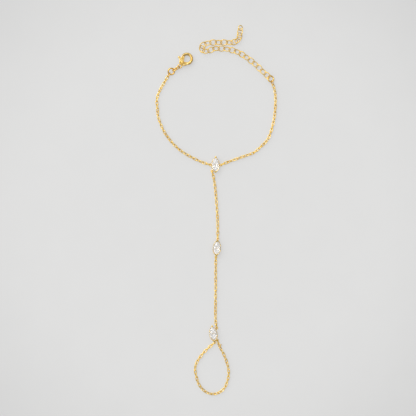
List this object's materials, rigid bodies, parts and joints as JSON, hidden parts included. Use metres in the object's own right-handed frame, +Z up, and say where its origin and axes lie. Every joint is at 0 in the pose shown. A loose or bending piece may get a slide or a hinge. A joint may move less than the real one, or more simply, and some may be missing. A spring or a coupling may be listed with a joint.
{
  "type": "hand chain bracelet",
  "caption": "Hand chain bracelet of fine cable chain: wrist chain with lobster clasp and extender, marquise stones in small settings, a chain over the hand and a finger loop.",
  "frame": {"origin": "middle of the underside of the wrist setting's foot, on the surface that the bracelet lies on", "axes": "+Y runs from the finger loop towards the clasp, +X runs across the hand towards the extender's side, +Z is up from the surface"},
  "size_m": [0.0642, 0.1959, 0.0032],
  "materials": {
    "gold": "polished thin gold-coloured plating on a copper alloy",
    "stone": "clear, facet cut and polished, like cubic zirconia"
  },
  "bodies": {
    "bracelet": {"setting_wrist": "gold", "setting_hand": "gold", "setting_finger": "gold", "wrist_chain_left": "gold", "wrist_chain_right": "gold", "hand_chain_upper": "gold", "hand_chain_lower": "gold", "finger_chain": "gold", "extender_chain": "gold", "finger_tag_ring": "gold", "end_link_clasp": "gold", "jump_ring_clasp": "gold", "clasp_link_inner": "gold", "clasp_link_outer": "gold", "clasp_body": "gold", "clasp_pin": "gold", "end_link_extender": "gold", "jump_ring_extender": "gold", "extender_end_ring": "gold", "stone_wrist": "stone", "stone_hand": "stone", "stone_finger": "stone"},
    "lever": {"clasp_lever": "gold"}
  },
  "joints": [
    {"name": "clasp_lever_hinge", "type": "hinge", "parent": "bracelet", "child": "lever", "pos_m": [-0.01788, 0.05425, 0.00126], "axis": [0, 0, -1], "range_deg": [0, 18], "stiffness_Nm_per_rad": 0.003, "springref_deg": -28.65}
  ]
}
